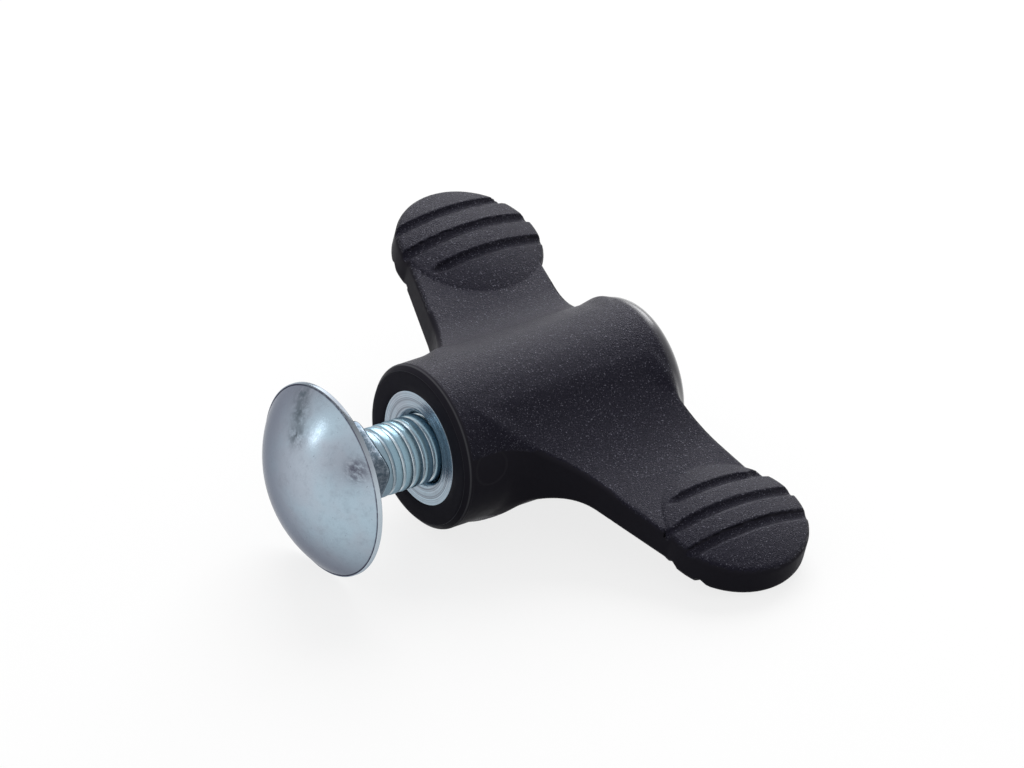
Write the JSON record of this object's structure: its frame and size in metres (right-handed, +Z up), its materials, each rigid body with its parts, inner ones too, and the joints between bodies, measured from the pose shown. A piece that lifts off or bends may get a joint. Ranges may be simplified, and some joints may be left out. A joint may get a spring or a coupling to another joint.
{
  "type": "wing nut on carriage bolt",
  "caption": "Moulded wing nut with offset, grooved finger wings and a steel insert, screwed part way onto a zinc plated carriage bolt to clamp parts by hand.",
  "frame": {"origin": "on the ground under the middle of the part as it lies at rest", "axes": "+X along the bolt from its head to the closed end of the hub, +Y across the wings, +Z up; the bolt axis dips about 2 degrees towards the closed end, as the part lies on its head and hub"},
  "size_m": [0.038, 0.051, 0.0166],
  "materials": {
    "black_plastic": "fine spark eroded grain",
    "insert_steel": "turned, thin zinc plating",
    "zinc_steel": "blue zinc plating"
  },
  "bodies": {
    "bolt": {"carriage_bolt": "zinc_steel"},
    "nut": {"wing_handle": "black_plastic", "threaded_insert": "insert_steel"}
  },
  "joints": [
    {"name": "nut_turn", "type": "hinge", "parent": "bolt", "child": "nut", "pos_m": [-0.00581, 0, 0.00793], "axis": [0.9992, 0, -0.0393], "range_deg": [-1890, 5310]}
  ]
}
